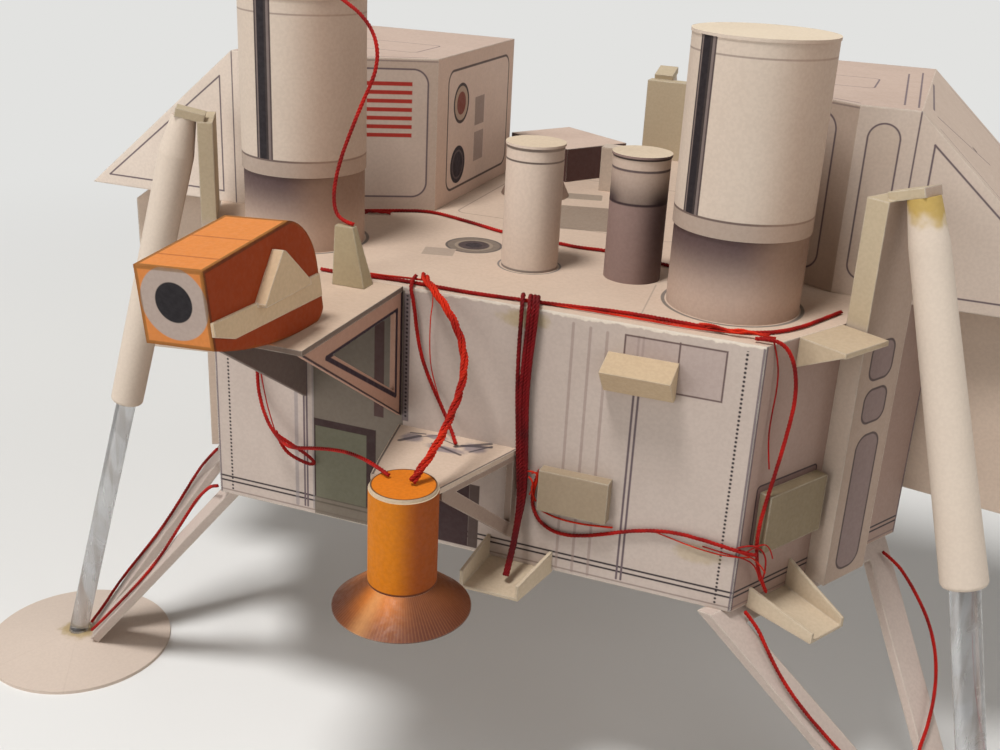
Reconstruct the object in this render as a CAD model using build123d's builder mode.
# Card scale model of a six-sided planetary lander, in millimetres, +Z up.
# The body's long front side faces -Y. The pads stand on Z = 0.
# Angles of the sides are those of their outward normals, counter-clockwise from +X.
import os
from math import atan2, cos, degrees, hypot, pi, radians, sin, sqrt, tan
from build123d import *

# Card
CARD = 0.6          # folded card, two layers and glue
SKIN = 0.4          # one sheet of card

# Body
LONG_SIDE = 68.0
SHORT_SIDE = 32.6
BODY_H = 32.7
BODY_Z = 33.3       # underside of the body above the pads' faces
DECK_Z = BODY_Z + BODY_H
BIG_SIDE = LONG_SIDE + 2 * SHORT_SIDE
FRONT_R = BIG_SIDE / (2 * sqrt(3))
SHORT_R = (LONG_SIDE / 2) * cos(pi / 6) + FRONT_R / 2

# Turrets
TURRET_X = 27.9
TURRET_Y = -FRONT_R + 12.75
TURRET_R = 7.6
SLEEVE_WALL = 0.2
TURRET_BAND_Z = DECK_Z + 9.4
TURRET_H = 30.5
TURRET_LID = 0.35
TURRET_LID_R = TURRET_R + SLEEVE_WALL + 0.1

# Small cylinders on the deck: centre x, centre y, radius, height with the lid
WHITE_POST = (2.1, -23.2, 3.5, 15.4)
DARK_POST = (14.7, -21.3, 3.45, 15.3)
POST_LID = 0.3
POST_LID_RIM = 0.14

# Power covers with their wings: name, side, height
COVERS = [("left", -1, 21.1), ("right", 1, 22.35)]
COVER_IN_X = 18.7
COVER_OUT_X = 44.7
COVER_FRONT_Y = -15.6
COVER_BACK_Y = 25.0
COVER_BEVEL_X = 38.0
COVER_BEVEL_Y = -5.0
WING_TIP_X = 69.2

# Tank covers, given for the right side and mirrored
TANK_BOTTOM_Z = 40.0
TANK_OUT = 10.4
TANK_RUN = 24.0
TANK_LEAD = 9.0
TANK_CHAMFER = 2.4

# Sampler bracket
BRACKET_X0 = -21.5
BRACKET_X1 = -8.0
BRACKET_REACH = 23.5
BRACKET_DROP = 15.8
BRACKET_RIM = 2.0

# Sampler: its lower right nose corner, and how it is tipped on the plate
SAMPLER_W = 7.4
SAMPLER_H = 7.75
SAMPLER_NOSE = (BRACKET_X1 - 3.1, -FRONT_R - BRACKET_REACH - 10.35, DECK_Z + 2.95)
SAMPLER_PITCH = 4.3
SAMPLER_ROLL = -3.6
STRAP_T = 0.35
STRAP_PEAK_T = 1.3

# Engine on the front face: distances out from the face, heights
ENGINE_OUT = 16.25
ENGINE_Y = -FRONT_R - ENGINE_OUT
ENGINE_R = 3.85
ENGINE_LID_R = 3.65
ENGINE_LID = 0.4
ENGINE_TOP_Z = BODY_Z + 16.0
ENGINE_BASE_Z = BODY_Z + 4.7
SKIRT_R = 7.8
SKIRT_Z = BODY_Z + 1.5
ENGINE_PLATE_Z = BODY_Z + 15.1
PLATE_OUTLINE = [(-8.25, 0.0), (-6.2, 9.95), (-5.4, 13.35), (2.9, 13.55), (7.25, 0.0)]
WEB_T = 1.0
WEB_RUN = 13.6
WEB_DROP = 11.5
WEB_SEAT = 0.5      # start inside the wall, cut flush with it

# Legs, in the vertical plane through each short side's middle
# name, side angle, post middle along the side, post depth,
# sleeve top out, sleeve top up, sleeve end out, sleeve end up, neck, shoulder and end radius,
# rod radius, foot out (out from the side, up from the deck or from the underside)
LEGS = [
    ("right", -30.0, 1.5, 2.8, 5.18, 15.2, 18.53, 7.3, 1.75, 2.15, 2.6, 1.7, 28.33),
    ("left", 210.0, -2.2, 2.0, 3.7, 13.7, 13.6, 6.2, 1.6, 2.3, 2.2, 1.35, 23.13),
    ("rear", 90.0, -1.7, 2.8, 4.73, 14.0, 16.33, 6.7, 1.6, 2.05, 2.35, 1.5, 24.33),
]
POST_W = 8.0
CAP_W = 3.2
CAP_T = 1.1
CAP_OVERHANG = 1.2
CAP_LAP = 0.9       # how far the cap lies over the post
NECK = 5.0          # pinched top of the sleeve
ROD_IN = 5.0        # rod inside its sleeve
PAD_R = 13.3
PAD_T = 0.5
PAD_RISE = 1.6
PAD_TOP_R = 0.8

# Lower frames, cut from one flat sheet each, along the side at the body's edge
# leg: outer left, inner left, inner right, outer right, foot middle, top inset, foot inset
FRAMES = {
    "right": (-19.2, -13.9, 10.5, 15.8, 0.5, 0.9, 1.4),
    "left": (-9.4, -2.2, 10.2, 15.6, 0.6, 1.8, 2.3),
    "rear": (-17.5, -12.2, 12.2, 17.5, 0.0, 0.9, 1.4),
}
FRAME_T = 1.2
FRAME_BAR = 2.5
FRAME_FOOT = 2.7
FRAME_JOIN = 4.6
FRAME_SEAT = 1.2    # start above the underside, cut flush with it

# Trays under the wall's bottom edge, open to the front
# name, side angle, wall from, wall to, front from, front to, reach, tilt,
# left wall height at the wall and in front, right wall height at the wall and in front
TRAYS = [
    ("front", -90.0, 3.9, 12.3, 3.15, 10.5, 6.9, 5.0, 2.9, 2.0, 2.5, 1.6),
    ("side", -30.0, -13.3, -5.9, -11.8, -5.9, 8.3, 8.0, 2.2, 0.95, 3.7, 1.0),
]
TRAY_SEAT = 1.5     # floor under the body

os.makedirs("parts", exist_ok=True)
made = []


def keep(part, name, cord=False):
    part.label = name
    made.append((part, name, cord))


def side_frame(angle):
    # level plane of one side: x out, y along the side, z up
    a = radians(angle)
    return Plane(origin=(0, 0, 0), x_dir=(cos(a), sin(a), 0), z_dir=(0, 0, 1))


def at(frame, out, along, up):
    return frame.from_local_coords(Vector(out, along, up))


# Body: six-sided closed box
body_outline = []
for side_angle in (-90, 30, 150):
    a = radians(side_angle)
    for s in (-1, 1):
        body_outline.append((
            FRONT_R * cos(a) - s * LONG_SIDE / 2 * sin(a),
            FRONT_R * sin(a) + s * LONG_SIDE / 2 * cos(a),
        ))
with BuildPart() as body:
    with BuildSketch(Plane.XY.offset(BODY_Z)):
        with BuildLine():
            Polyline(*body_outline, close=True)
        make_face()
    extrude(amount=BODY_H)
keep(body.part, "body")

# Turrets: drum below, wider sleeve above, and a lid wider still
for name, s in (("left", -1), ("right", 1)):
    with BuildPart() as turret:
        for low, high, radius in (
            (DECK_Z, DECK_Z + TURRET_H, TURRET_R),
            (TURRET_BAND_Z, DECK_Z + TURRET_H, TURRET_R + SLEEVE_WALL),
            (DECK_Z + TURRET_H - TURRET_LID, DECK_Z + TURRET_H, TURRET_LID_R),
        ):
            with BuildSketch(Plane.XY.offset(low)):
                with Locations((s * TURRET_X, TURRET_Y)):
                    Circle(radius)
            extrude(amount=high - low)
    keep(turret.part, "turret_" + name)

# Small closed cylinders, each with a lid a little wider than its tube
for name, (px, py, pr, ph) in (("white_post", WHITE_POST), ("dark_post", DARK_POST)):
    with BuildPart() as post:
        for low, high, radius in ((0, ph, pr), (ph - POST_LID, ph, pr + POST_LID_RIM)):
            with BuildSketch(Plane.XY.offset(DECK_Z + low)):
                with Locations((px, py)):
                    Circle(radius)
            extrude(amount=high - low)
    keep(post.part, name)

# Power covers: cross-section drawn out to the wing tip, then the front corner cut away
for name, s, cover_h in COVERS:
    with BuildPart() as cover:
        with BuildSketch(Plane.XZ.offset(-COVER_BACK_Y)):
            with BuildLine():
                Polyline(
                    (s * COVER_IN_X, DECK_Z),
                    (s * WING_TIP_X, DECK_Z),
                    (s * COVER_OUT_X, DECK_Z + cover_h),
                    (s * COVER_IN_X, DECK_Z + cover_h),
                    close=True,
                )
            make_face()
        extrude(amount=COVER_BACK_Y - COVER_FRONT_Y)
        with BuildSketch(Plane.XY.offset(DECK_Z)):
            with BuildLine():
                Polyline(
                    (s * COVER_IN_X, COVER_BEVEL_Y),
                    (s * COVER_BEVEL_X, COVER_FRONT_Y),
                    (s * COVER_IN_X, COVER_FRONT_Y),
                    close=True,
                )
            make_face()
        extrude(amount=cover_h, mode=Mode.SUBTRACT)
    keep(cover.part, "power_cover_" + name)

# Tank covers beside the body, their top outer edge bevelled
tank_x = BIG_SIDE / 2 - SHORT_SIDE / 2
tank_y = -FRONT_R + SHORT_SIDE * sin(pi / 3)
tank_run = (-sin(radians(30)), cos(radians(30)))
tank_out = (cos(radians(30)), sin(radians(30)))
for name, s in (("left", -1), ("right", 1)):
    tank_outline = []
    for out, run in ((0, 0), (TANK_OUT, -TANK_LEAD), (TANK_OUT, TANK_RUN), (0, TANK_RUN)):
        tank_outline.append((
            s * (tank_x + out * tank_out[0] + run * tank_run[0]),
            tank_y + out * tank_out[1] + run * tank_run[1],
        ))
    with BuildPart() as tank:
        with BuildSketch(Plane.XY.offset(TANK_BOTTOM_Z)):
            with BuildLine():
                Polyline(*tank_outline, close=True)
            make_face()
        extrude(amount=DECK_Z - TANK_BOTTOM_Z)
        outward = Vector(s * tank_out[0], tank_out[1], 0)
        top_edges = tank.faces().sort_by(Axis.Z)[-1].edges()
        chamfer(max(top_edges, key=lambda edge: edge.center().dot(outward)), TANK_CHAMFER)
    keep(tank.part, "tank_cover_" + name)

# Rear slab, upright and cone on the deck
slab_dir = radians(-33)
with BuildPart() as slab:
    with BuildSketch(Plane(origin=(-10.7, 31.6, DECK_Z), x_dir=(cos(slab_dir), sin(slab_dir), 0), z_dir=(0, 0, 1))):
        Rectangle(14.8, 12.4)
    extrude(amount=5.3)
keep(slab.part, "rear_slab")
with BuildPart() as upright:
    with BuildSketch(Plane.XY.offset(DECK_Z)):
        with Locations((0.8, 21.5)):
            Rectangle(5.0, 3.0)
    extrude(amount=6.8)
keep(upright.part, "rear_upright")
with BuildPart() as cone:
    with Locations((-9.6, 12.5, DECK_Z)):
        Cone(5.2, 2.4, 6.0, align=(Align.CENTER, Align.CENTER, Align.MIN))
keep(cone.part, "rear_cone")

# Sampler bracket: top plate, a solid frame on its left and an open one on its right
with BuildPart() as bracket_plate:
    with BuildSketch(Plane.XY.offset(DECK_Z - CARD)):
        with BuildLine():
            Polyline(
                (BRACKET_X0, -FRONT_R), (BRACKET_X1, -FRONT_R),
                (BRACKET_X1, -FRONT_R - BRACKET_REACH), (BRACKET_X0, -FRONT_R - BRACKET_REACH),
                close=True,
            )
        make_face()
    extrude(amount=CARD)
keep(bracket_plate.part, "sampler_plate")
for name, gx in (("left", BRACKET_X0), ("right", BRACKET_X1 - CARD)):
    with BuildPart() as gusset:
        with BuildSketch(Plane.YZ.offset(gx)):
            top = DECK_Z - CARD
            with BuildLine():
                Polyline(
                    (-FRONT_R, top), (-FRONT_R - BRACKET_REACH, top),
                    (-FRONT_R, top - BRACKET_DROP), close=True,
                )
            make_face()
            if name == "right":
                with BuildLine():
                    Polyline(
                        (-FRONT_R - BRACKET_RIM, top - BRACKET_RIM),
                        (-FRONT_R - BRACKET_REACH + 3.2 * BRACKET_RIM, top - BRACKET_RIM),
                        (-FRONT_R - BRACKET_RIM, top - BRACKET_DROP + 2.0 * BRACKET_RIM),
                        close=True,
                    )
                make_face(mode=Mode.SUBTRACT)
        extrude(amount=CARD)
    keep(gusset.part, "sampler_gusset_" + name)

# Sampler housing: a bellied side view drawn on its tipped right side and carried across
heading = Vector(0, 1, 0).rotate(Axis.X, SAMPLER_PITCH)
right_hand = Vector(1, 0, 0).rotate(Axis((0, 0, 0), heading), SAMPLER_ROLL)
side_plane = Plane(origin=SAMPLER_NOSE, x_dir=heading, z_dir=right_hand)
with BuildPart() as sampler:
    with BuildSketch(side_plane):
        with BuildLine():
            ThreePointArc((0, 0), (8.8, -2.95), (17.5, -4.3))
            ThreePointArc((17.5, -4.3), (19.3, -3.95), (19.9, -3.3))
            Line((19.9, -3.3), (19.6, 1.8))
            ThreePointArc((19.6, 1.8), (18.3, 5.4), (15.1, SAMPLER_H))
            Polyline((15.1, SAMPLER_H), (0, SAMPLER_H), (0, 0))
        make_face()
    extrude(amount=-SAMPLER_W)
    split(bisect_by=Plane.XY.offset(DECK_Z), keep=Keep.TOP)
keep(sampler.part, "sampler")

# Strap on the sampler's right side: a flat arm and a thicker peak
with BuildPart() as strap:
    with BuildSketch(side_plane):
        with BuildLine():
            Polyline(
                (0, 2.8), (0, 1.4), (3.0, 0.05), (19.4, -1.75), (19.3, 0.75), (17.4, 0.93), (8.0, 1.9),
                close=True,
            )
        make_face()
    extrude(amount=STRAP_T)
    with BuildSketch(side_plane):
        with BuildLine():
            Polyline(
                (7.3, 1.9), (11.5, 6.0), (11.9, 5.8), (15.9, 1.4), (15.9, 0.9), (7.3, 1.6), close=True,
            )
        make_face()
    extrude(amount=STRAP_PEAK_T)
keep(strap.part, "sampler_strap")

# Tapered leaning block behind the sampler
with BuildPart() as tapered:
    with BuildSketch(Plane.XY.offset(DECK_Z)):
        with Locations((-13.4, -FRONT_R - 2.15)):
            Rectangle(4.1, 2.3)
    with BuildSketch(Plane.XY.offset(DECK_Z + 6.9)):
        with Locations((-14.2, -FRONT_R - 2.35)):
            Rectangle(2.3, 0.9)
    loft()
keep(tapered.part, "thread_block")

# Engine barrel with its lid, and the skirt below
with BuildPart() as barrel:
    for low, high, radius in (
        (ENGINE_BASE_Z, ENGINE_TOP_Z, ENGINE_R),
        (ENGINE_TOP_Z, ENGINE_TOP_Z + ENGINE_LID, ENGINE_LID_R),
    ):
        with BuildSketch(Plane.XY.offset(low)):
            with Locations((0, ENGINE_Y)):
                Circle(radius)
        extrude(amount=high - low)
keep(barrel.part, "engine_barrel")
with BuildPart() as skirt:
    with BuildSketch(Plane.XZ.offset(-ENGINE_Y)):
        with BuildLine():
            Polyline(
                (ENGINE_R - 0.9, ENGINE_BASE_Z), (ENGINE_R, ENGINE_BASE_Z),
                (SKIRT_R, SKIRT_Z), (SKIRT_R - 0.6, SKIRT_Z), close=True,
            )
        make_face()
    revolve(axis=Axis((0, ENGINE_Y, 0), (0, 0, 1)))
keep(skirt.part, "engine_skirt")

# Engine plate around the barrel and its two open webs
with BuildPart() as engine_plate:
    with BuildSketch(Plane.XY.offset(ENGINE_PLATE_Z - CARD)):
        with BuildLine():
            Polyline(*[(x, -FRONT_R - out) for x, out in PLATE_OUTLINE], close=True)
        make_face()
        with Locations((0, ENGINE_Y)):
            Circle(ENGINE_R, mode=Mode.SUBTRACT)
    extrude(amount=CARD)
keep(engine_plate.part, "engine_plate")
for name, inward, (wall_x, wall_out), (tip_x, tip_out) in (
    ("left", -1, PLATE_OUTLINE[0], PLATE_OUTLINE[2]),
    ("right", 1, PLATE_OUTLINE[4], PLATE_OUTLINE[3]),
):
    web_dir = Vector(tip_x - wall_x, wall_out - tip_out, 0).normalized()
    web_plane = Plane(
        origin=(wall_x, -FRONT_R, ENGINE_PLATE_Z - CARD),
        x_dir=web_dir, z_dir=web_dir.cross(Vector(0, 0, 1)),
    )
    with BuildPart() as web:
        with BuildSketch(web_plane):
            with BuildLine():
                Polyline(
                    (-WEB_SEAT, 0), (WEB_RUN, 0), (WEB_RUN, -1.0), (0, -WEB_DROP), (-WEB_SEAT, -WEB_DROP),
                    close=True,
                )
            make_face()
            with BuildLine():
                Polyline(
                    (0.9, -0.75), (WEB_RUN - 2.4, -0.75), (0.9, 2.6 - WEB_DROP), close=True,
                )
            make_face(mode=Mode.SUBTRACT)
        extrude(amount=inward * WEB_T)
        add(body.part, mode=Mode.SUBTRACT)
        add(barrel.part, mode=Mode.SUBTRACT)
    keep(web.part, "engine_web_" + name)

# Wedge block and flat box on the front face
with BuildPart() as wedge:
    with BuildSketch(Plane.YZ.offset(17.0)):
        with BuildLine():
            Polyline(
                (-FRONT_R, DECK_Z - 3.5), (-FRONT_R - 3.6, DECK_Z - 4.8), (-FRONT_R - 1.0, DECK_Z - 7.8),
                (-FRONT_R, DECK_Z - 7.8), close=True,
            )
        make_face()
    extrude(amount=8.0)
keep(wedge.part, "front_wedge")
with BuildPart() as front_box:
    with Locations((14.6, -FRONT_R - 0.8, BODY_Z + 11.1)):
        Box(8.4, 1.6, 5.2)
keep(front_box.part, "front_box")

# Pieces on the right short side
right_frame = side_frame(-30)
with BuildPart() as side_box:
    with BuildSketch(Plane(origin=at(right_frame, SHORT_R, -8.7, BODY_Z + 11.2), x_dir=right_frame.y_dir, z_dir=right_frame.x_dir)):
        Rectangle(10.2, 7.2)
    extrude(amount=1.6)
keep(side_box.part, "side_box")
BRACKET_ENDS = (-10.8, -3.15)
with BuildPart() as side_bracket:
    with BuildSketch(right_frame.offset(DECK_Z - CARD)):
        with BuildLine():
            Polyline(
                (SHORT_R, BRACKET_ENDS[0]), (SHORT_R + 6.0, BRACKET_ENDS[0]),
                (SHORT_R + 6.0, BRACKET_ENDS[1]), (SHORT_R, BRACKET_ENDS[1]), close=True,
            )
        make_face()
    extrude(amount=CARD)
    for along, inward in ((BRACKET_ENDS[0], 1), (BRACKET_ENDS[1], -1)):
        cheek = Plane(
            origin=at(right_frame, SHORT_R, along, DECK_Z - CARD),
            x_dir=right_frame.x_dir, z_dir=-right_frame.y_dir,
        )
        with BuildSketch(cheek):
            with BuildLine():
                Polyline((0, 0), (5.7, 0), (0, -2.9), close=True)
            make_face()
        extrude(amount=-inward * SKIN)
keep(side_bracket.part, "side_bracket")

# Trays: a tilted floor glued under the body, and a wall along each side edge
trays = []
for (name, angle, wall_a, wall_b, front_a, front_b, reach, tilt,
        left_back, left_front, right_back, right_front) in TRAYS:
    frame = side_frame(angle)
    rad = FRONT_R if angle == -90.0 else SHORT_R
    fall = tan(radians(tilt))
    slope = (frame.x_dir - Vector(0, 0, fall)).normalized()
    floor_plane = Plane(origin=at(frame, rad, 0, BODY_Z), x_dir=slope, z_dir=slope.cross(frame.y_dir))
    with BuildPart() as tray:
        with BuildSketch(floor_plane):
            with BuildLine():
                Polyline(
                    (-TRAY_SEAT, wall_a), (0, wall_a), (reach, front_a), (reach, front_b),
                    (0, wall_b), (-TRAY_SEAT, wall_b), close=True,
                )
            make_face()
        extrude(amount=-SKIN)
        for from_y, to_y, back_h, front_h, inward in (
            (wall_a, front_a, left_back, left_front, 1),
            (wall_b, front_b, right_back, right_front, -1),
        ):
            edge_start = at(frame, rad, from_y, BODY_Z)
            edge_end = at(frame, rad + reach, to_y, BODY_Z)
            edge_len = (edge_end - edge_start).length
            edge_dir = (edge_end - edge_start).normalized()
            wall_plane = Plane(origin=edge_start, x_dir=edge_dir, z_dir=edge_dir.cross(Vector(0, 0, 1)))
            with BuildSketch(wall_plane):
                with BuildLine():
                    Polyline(
                        (0, 0), (0, back_h), (edge_len, front_h - reach * fall),
                        (edge_len, -reach * fall - SKIN / 2), (0.5, -SKIN / 2), close=True,
                    )
                make_face()
            extrude(amount=-inward * SKIN)
        add(body.part, mode=Mode.SUBTRACT)
    keep(tray.part, "tray_" + name)
    trays.append(tray.part)

# Legs: post and cap, paper sleeve, rod, footpad, and the flat frame below
for (name, angle, post_y, post_d, top_out, top_up, end_out, end_up,
        neck_r, shoulder_r, end_r, rod_r, foot_out) in LEGS:
    leg = side_frame(angle)
    top_point = at(leg, SHORT_R + top_out, 0, DECK_Z + top_up)
    end_point = at(leg, SHORT_R + end_out, 0, BODY_Z + end_up)
    foot_point = at(leg, SHORT_R + foot_out, 0, PAD_T + PAD_RISE)
    axis_dir = (end_point - top_point).normalized()
    rod_dir = (foot_point - end_point).normalized()
    lean = (end_out - top_out) / (BODY_H + top_up - end_up)
    post_top = DECK_Z + top_up - (top_out - post_d) * lean
    with BuildPart() as post:
        with BuildSketch(leg.offset(BODY_Z)):
            with Locations((SHORT_R + post_d / 2, post_y)):
                Rectangle(post_d, POST_W)
        extrude(amount=post_top - BODY_Z)
        with BuildSketch(Plane(origin=top_point, x_dir=leg.y_dir, z_dir=-axis_dir)):
            cap_in = top_out - post_d + CAP_LAP
            with Locations((0, (cap_in - CAP_OVERHANG) / 2)):
                Rectangle(CAP_W, cap_in + CAP_OVERHANG)
        extrude(amount=CAP_T)
    keep(post.part, "leg_post_" + name)

    with BuildPart() as pad:
        with Locations((foot_point.X, foot_point.Y, 0)):
            Cylinder(PAD_R, PAD_T, align=(Align.CENTER, Align.CENTER, Align.MIN))
        with Locations((foot_point.X, foot_point.Y, PAD_T)):
            Cone(PAD_R, PAD_TOP_R, PAD_RISE, align=(Align.CENTER, Align.CENTER, Align.MIN))
    keep(pad.part, "footpad_" + name)
    with BuildPart() as rod:
        with BuildSketch(Plane(origin=end_point - rod_dir * ROD_IN, z_dir=rod_dir)):
            Circle(rod_r)
        extrude(amount=(foot_point - end_point).length + ROD_IN + 2 * PAD_RISE)
        split(bisect_by=Plane.XY.offset(PAD_T), keep=Keep.TOP)
        add(pad.part, mode=Mode.SUBTRACT)
    keep(rod.part, "leg_rod_" + name)
    with BuildPart() as sleeve:
        shoulder = top_point + axis_dir * NECK
        for upper, upper_r, lower, lower_r in (
            (top_point, neck_r, shoulder, shoulder_r), (shoulder, shoulder_r, end_point, end_r),
        ):
            with BuildSketch(Plane(origin=upper, z_dir=axis_dir)):
                Circle(upper_r)
            with BuildSketch(Plane(origin=lower, z_dir=axis_dir)):
                Circle(lower_r)
            loft()
        rim = sleeve.faces().sort_by(Axis.Z)[0].edges()
        fillet(rim, 0.6 * (end_r - rod_r))
        add(rod.part, mode=Mode.SUBTRACT)
    keep(sleeve.part, "leg_sleeve_" + name)

    outer_a, inner_a, inner_b, outer_b, foot_y, top_in, foot_in = FRAMES[name]
    sheet_top = at(leg, SHORT_R - top_in, 0, BODY_Z)
    sheet_foot = at(leg, SHORT_R + foot_out - foot_in, 0, PAD_T + PAD_RISE + 0.3)
    sheet_len = (sheet_foot - sheet_top).length
    sheet_dir = (sheet_foot - sheet_top).normalized()
    top_y = (outer_a + outer_b) / 2
    for side_name, s, outer, inner in (("a", -1, outer_a, inner_a), ("b", 1, outer_b, inner_b)):
        with BuildPart() as strut:
            with BuildSketch(Plane(origin=sheet_top, x_dir=leg.y_dir, z_dir=leg.y_dir.cross(sheet_dir))):
                with BuildLine():
                    Polyline(
                        (top_y, -FRAME_SEAT), (outer, -FRAME_SEAT),
                        (foot_y + s * FRAME_FOOT, sheet_len), (foot_y, sheet_len),
                        (foot_y, sheet_len - FRAME_JOIN), (inner, FRAME_BAR), (top_y, FRAME_BAR),
                        close=True,
                    )
                make_face()
            extrude(amount=FRAME_T)
            split(bisect_by=Plane.XY.offset(BODY_Z), keep=Keep.BOTTOM)
            add(pad.part, mode=Mode.SUBTRACT)
            add(rod.part, mode=Mode.SUBTRACT)
            for tray_part in trays:
                add(tray_part, mode=Mode.SUBTRACT)
        keep(strut.part, "leg_strut_" + side_name + "_" + name)

# Threads: name, diameter, points of the route
THREADS = [
    ("thread_turret", 0.5, [
        (-22.6, -29.5, 96.8), (-20.6, -30.9, 97.0), (-18.5, -31.9, 96.2), (-16.5, -32.5, 95.2),
        (-14.8, -33.0, 93.6), (-13.7, -33.8, 91.5), (-13.7, -34.6, 89.0), (-14.6, -35.6, 86.3),
        (-15.4, -36.9, 83.2), (-16.3, -38.0, 79.8), (-16.6, -39.1, 76.6), (-16.1, -39.9, 74.2),
        (-14.7, -40.5, 73.25), (-13.2, -40.8, 73.2),
    ]),
    ("thread_deck", 0.5, [
        (-26.8, -11.0, 66.26), (-22.9, -8.4, 66.26), (-18.6, -6.3, 66.26), (-13.5, -8.2, 66.26),
        (-9.9, -9.6, 66.26), (-6.4, -11.3, 66.26), (-2.1, -12.1, 66.26), (2.4, -12.7, 66.26),
        (5.3, -13.4, 66.26), (8.6, -12.9, 66.26), (12.8, -13.6, 66.26), (16.9, -15.2, 66.26),
        (20.8, -16.0, 66.26), (24.5, -17.6, 66.26),
    ]),
    ("thread_deck_edge", 0.5, [
        (-18.97, -37.96, 66.26), (-16.0, -38.1, 66.26), (-12.8, -37.6, 66.26), (-9.0, -37.2, 66.26),
        (-5.2, -37.4, 66.26), (-0.2, -37.6, 66.26), (5.4, -37.2, 66.26), (11.6, -36.6, 66.26),
        (17.8, -35.6, 66.26), (24.4, -35.9, 66.26), (29.6, -36.3, 66.26), (33.6, -34.8, 66.26),
        (36.4, -31.4, 66.26), (38.4, -27.0, 66.26), (40.0, -23.4, 66.26),
    ]),
    ("thread_engine", 0.9, [
        (-6.2, -36.6, 67.0), (-5.2, -38.3, 67.3), (-3.2, -39.9, 66.4), (-0.9, -41.2, 64.8),
        (1.1, -42.5, 62.6), (2.3, -44.0, 60.2), (2.7, -46.0, 57.9), (2.6, -48.3, 55.8),
        (2.4, -50.8, 53.8), (1.8, -53.0, 52.0), (0.9, -54.6, 50.2),
    ]),
    ("thread_plate", 0.5, [
        (-7.2, -36.6, 66.9), (-6.9, -39.1, 66.8), (-6.2, -39.2, 64.2), (-5.9, -39.0, 61.0),
        (-5.2, -39.0, 57.8), (-3.9, -39.1, 54.9), (-2.2, -39.4, 52.1), (-0.6, -40.0, 49.6),
        (0.4, -41.2, 48.75),
    ]),
    ("thread_wall", 0.9, [
        (7.6, -36.3, 67.1), (7.7, -39.2, 67.0), (7.8, -39.3, 63.8), (7.9, -39.2, 58.6),
        (8.1, -39.2, 52.8), (8.2, -39.3, 47.2), (8.4, -39.3, 42.3), (8.3, -39.8, 38.9),
        (8.1, -40.9, 36.0), (8.1, -42.9, 33.5),
    ]),
    ("thread_front_low", 0.5, [
        (10.1, -38.75, 46.4), (9.6, -38.8, 44.7), (9.35, -38.75, 42.8), (9.6, -38.8, 41.0),
        (10.7, -38.75, 39.4), (12.7, -38.8, 38.6), (15.2, -38.75, 38.8), (18.2, -38.8, 39.8),
        (22.0, -38.8, 41.3), (26.2, -38.8, 42.2), (30.2, -38.8, 42.0), (34.0, -38.95, 41.6),
        (36.0, -38.2, 41.2),
    ]),
    ("thread_corner", 0.5, [
        (32.6, -37.6, 66.4), (34.4, -37.8, 66.8), (36.1, -37.0, 65.7), (37.1, -36.4, 63.2),
        (37.5, -36.1, 59.8), (37.2, -36.2, 56.0), (36.7, -36.7, 51.8), (36.1, -37.2, 47.6),
        (35.7, -37.6, 43.9), (35.9, -37.2, 40.4), (36.5, -36.2, 37.4), (37.4, -35.4, 35.2),
    ]),
    ("thread_leg_right_a", 0.5, [
        (35.5, -36.9, 32.9), (37.1, -37.0, 31.4), (38.5, -37.9, 29.6), (40.0, -38.6, 27.6),
        (41.8, -39.1, 25.5), (44.2, -39.2, 22.9), (47.1, -39.0, 20.1), (50.4, -38.8, 17.1),
        (54.2, -38.9, 13.4), (58.0, -38.8, 9.8), (61.4, -38.9, 6.8), (64.3, -39.03, 5.0),
    ]),
    ("thread_leg_right_b", 0.5, [
        (49.4, -13.8, 32.0), (51.3, -13.9, 30.9), (52.9, -14.5, 29.4), (54.6, -15.4, 27.5),
        (56.3, -16.6, 25.3), (57.6, -18.2, 22.8), (58.3, -20.4, 20.6), (58.5, -23.3, 18.6),
        (58.2, -27.0, 16.6), (57.4, -30.6, 14.8), (58.0, -33.8, 12.4), (59.9, -36.2, 9.9),
        (62.0, -37.3, 7.6), (63.9, -37.82, 5.9),
    ]),
    ("thread_sampler", 0.5, [
        (-27.5, -38.8, 54.0), (-27.6, -39.0, 51.2), (-27.0, -39.4, 48.4), (-25.6, -40.2, 46.0),
        (-23.4, -41.4, 44.6), (-20.9, -43.0, 44.6), (-18.6, -45.0, 45.8), (-15.6, -46.8, 47.2),
        (-12.2, -48.6, 48.6), (-8.6, -50.6, 49.8), (-4.8, -52.8, 50.4), (-2.0, -54.2, 50.1),
    ]),
    ("thread_leg_left_a", 0.5, [
        (-43.6, -24.8, 31.5), (-46.6, -23.4, 28.4), (-48.9, -22.8, 25.3), (-50.3, -23.9, 22.4),
        (-51.4, -25.8, 19.6), (-53.0, -27.4, 16.5), (-55.2, -28.4, 13.2), (-57.5, -29.3, 9.9),
        (-59.0, -31.0, 7.1), (-59.8, -33.0, 4.8), (-60.66, -34.79, 3.0),
    ]),
    ("thread_leg_left_b", 0.5, [
        (-36.0, -36.3, 32.6), (-38.3, -34.1, 31.1), (-40.7, -32.2, 29.0), (-43.0, -31.3, 26.5),
        (-44.2, -31.8, 24.3), (-45.0, -33.2, 22.3), (-45.9, -34.6, 20.1), (-47.2, -35.6, 17.7),
        (-49.2, -36.4, 14.8), (-51.6, -36.8, 11.8), (-54.5, -36.9, 8.4), (-57.0, -36.8, 5.5),
        (-58.9, -36.9, 3.4),
    ]),
]


def bend_radii(points):
    radii = []
    for a, b, c in zip(points, points[1:], points[2:]):
        first = Vector(*b) - Vector(*a)
        second = Vector(*c) - Vector(*b)
        half = radians(first.get_angle(second)) / 2
        radii.append(0.45 * min(first.length, second.length) / tan(half))
    return radii


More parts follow.
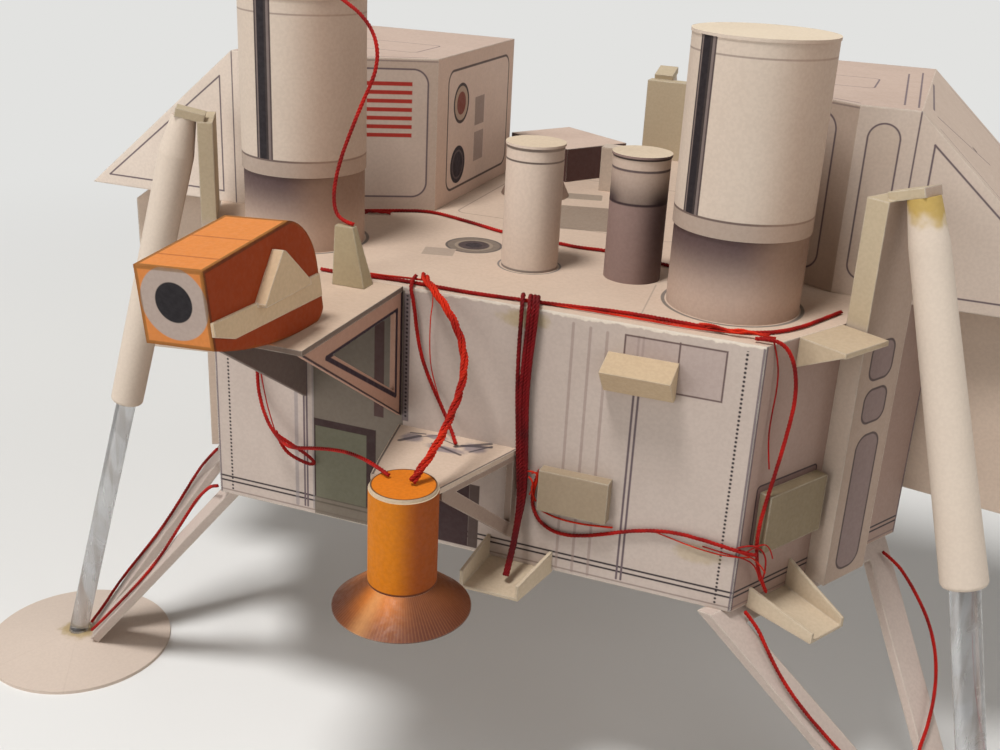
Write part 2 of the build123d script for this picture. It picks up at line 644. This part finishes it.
for name, dia, points in THREADS:
    radii = bend_radii(points)
    start = Vector(*points[1]) - Vector(*points[0])
    with BuildPart() as thread:
        with BuildLine() as route:
            FilletPolyline(*points, radius=radii)
        with BuildSketch(Plane(origin=points[0], z_dir=start)):
            Circle(dia / 2)
        sweep()
    length = route.wires()[0].length
    fill = thread.part.volume / (pi * dia * dia / 4 * length)
    print(name, "length", round(length, 1), "volume ratio", round(fill, 3), "radii", [round(r, 1) for r in radii])
    keep(thread.part, name, cord=True)

# Move everything so that the model's box stands centred on the origin
solid_boxes = [part.bounding_box() for part, name, cord in made if not cord]
low_x = min(b.min.X for b in solid_boxes)
high_x = max(b.max.X for b in solid_boxes)
low_y = min(b.min.Y for b in solid_boxes)
high_y = max(b.max.Y for b in solid_boxes)
low_z = min(b.min.Z for b in solid_boxes)
centre = Location((-(low_x + high_x) / 2, -(low_y + high_y) / 2, -low_z))
for part, name, cord in made:
    moved = part.moved(centre)
    moved.label = name
    export_step(moved, "parts/" + name + ".step")
print("pieces", len(made))
print("centre shift", [round(v, 4) for v in tuple(centre.position)])
print("size", round(high_x - low_x, 2), round(high_y - low_y, 2))
